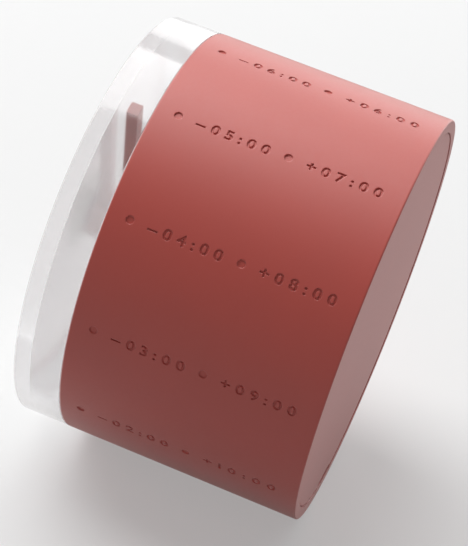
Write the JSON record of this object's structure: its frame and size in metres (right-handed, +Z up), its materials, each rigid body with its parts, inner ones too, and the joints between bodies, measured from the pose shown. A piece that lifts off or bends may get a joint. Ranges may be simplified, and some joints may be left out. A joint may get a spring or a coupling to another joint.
{
  "type": "world time clock",
  "caption": "Round world time clock lying on its side: red metal sleeve with time zone rows, clear front cap, one thick hour hand and a battery movement inside.",
  "frame": {"origin": "on the table, under the middle of the body", "axes": "+Z up, Y along the clock's axis with the dial facing -Y and the flat back facing +Y, +X to the right of a reader of the dial"},
  "size_m": [0.08, 0.0558, 0.08],
  "materials": {
    "red_metal": "satin red coat on aluminium",
    "clear_acrylic": "clear, polished",
    "red_plastic": "satin red",
    "black_rubber": "matte",
    "bare_brass": "turned",
    "plated_brass": "nickel plated",
    "black_plastic": "moulded",
    "white_plastic": "moulded",
    "amber_plastic": "moulded",
    "steel": "plain",
    "magnet_grey": "sintered",
    "copper_wire": "enamelled wire",
    "green_board": "lacquered board",
    "cell_wrap": "plain printed wrap"
  },
  "bodies": {
    "housing": {"sleeve": "red_metal", "front_cap": "clear_acrylic", "dial": "white_plastic", "rubber_washer": "black_rubber", "brass_washer": "plated_brass", "bush_nut": "plated_brass", "movement_case": "black_plastic", "movement_cover": "black_plastic", "stator": "steel", "coil_core": "steel", "coil_bobbin": "amber_plastic", "coil_winding": "copper_wire", "stator_screws": "steel", "circuit_board": "green_board", "control_chip": "black_plastic", "quartz_crystal": "steel", "battery": "cell_wrap", "contact_plus": "steel", "contact_minus": "steel"},
    "hour_hand": {"hour_hand": "red_plastic", "hour_wheel": "white_plastic", "hand_cap": "red_plastic"},
    "minute_wheel": {"minute_wheel": "white_plastic"},
    "centre_arbor": {"centre_arbor": "bare_brass", "clutch_washer": "steel", "setting_knob": "white_plastic"},
    "centre_wheel": {"centre_wheel": "white_plastic"},
    "third_wheel": {"third_wheel": "white_plastic"},
    "fourth_wheel": {"fourth_wheel": "white_plastic"},
    "fifth_wheel": {"fifth_wheel": "white_plastic"},
    "rotor": {"rotor_pinion": "white_plastic", "rotor_magnet": "magnet_grey"},
    "back_cover": {"back_cover": "red_metal", "cover_o_ring": "black_rubber"}
  },
  "joints": [
    {"name": "hour_hand_turn", "type": "hinge", "parent": "housing", "child": "hour_hand", "pos_m": [0, -0.008, 0.04], "axis": [0, 1, 0], "continuous": true},
    {"name": "minute_wheel_turn", "type": "hinge", "parent": "housing", "child": "minute_wheel", "pos_m": [0.00921, -0.008, 0.03729], "axis": [0, 1, 0], "continuous": true},
    {"name": "centre_arbor_turn", "type": "hinge", "parent": "housing", "child": "centre_arbor", "pos_m": [0, -0.008, 0.04], "axis": [0, 1, 0], "continuous": true},
    {"name": "fourth_wheel_turn", "type": "hinge", "parent": "housing", "child": "fourth_wheel", "pos_m": [-0.00202, -0.008, 0.05249], "axis": [0, 1, 0], "continuous": true},
    {"name": "third_wheel_turn", "type": "hinge", "parent": "housing", "child": "third_wheel", "pos_m": [-0.00935, -0.008, 0.0454], "axis": [0, 1, 0], "continuous": true},
    {"name": "centre_wheel_turn", "type": "hinge", "parent": "housing", "child": "centre_wheel", "pos_m": [0, -0.008, 0.04], "axis": [0, 1, 0], "continuous": true},
    {"name": "fifth_wheel_turn", "type": "hinge", "parent": "housing", "child": "fifth_wheel", "pos_m": [0.00823, -0.008, 0.0548], "axis": [0, 1, 0], "continuous": true},
    {"name": "rotor_turn", "type": "hinge", "parent": "housing", "child": "rotor", "pos_m": [0.01551, -0.008, 0.04951], "axis": [0, 1, 0], "continuous": true},
    {"name": "back_cover_pull", "type": "slide", "parent": "housing", "child": "back_cover", "axis": [0, 1, 0], "range_m": [0, 0.015]}
  ],
  "couplings": [
    {"joint": "minute_wheel_turn", "follows": "hour_hand_turn", "ratio": -4},
    {"joint": "centre_arbor_turn", "follows": "hour_hand_turn", "ratio": 12},
    {"joint": "third_wheel_turn", "follows": "fourth_wheel_turn", "ratio": -0.13333},
    {"joint": "centre_wheel_turn", "follows": "fourth_wheel_turn", "ratio": 0.016667},
    {"joint": "fifth_wheel_turn", "follows": "fourth_wheel_turn", "ratio": -6},
    {"joint": "rotor_turn", "follows": "fourth_wheel_turn", "ratio": 30}
  ]
}
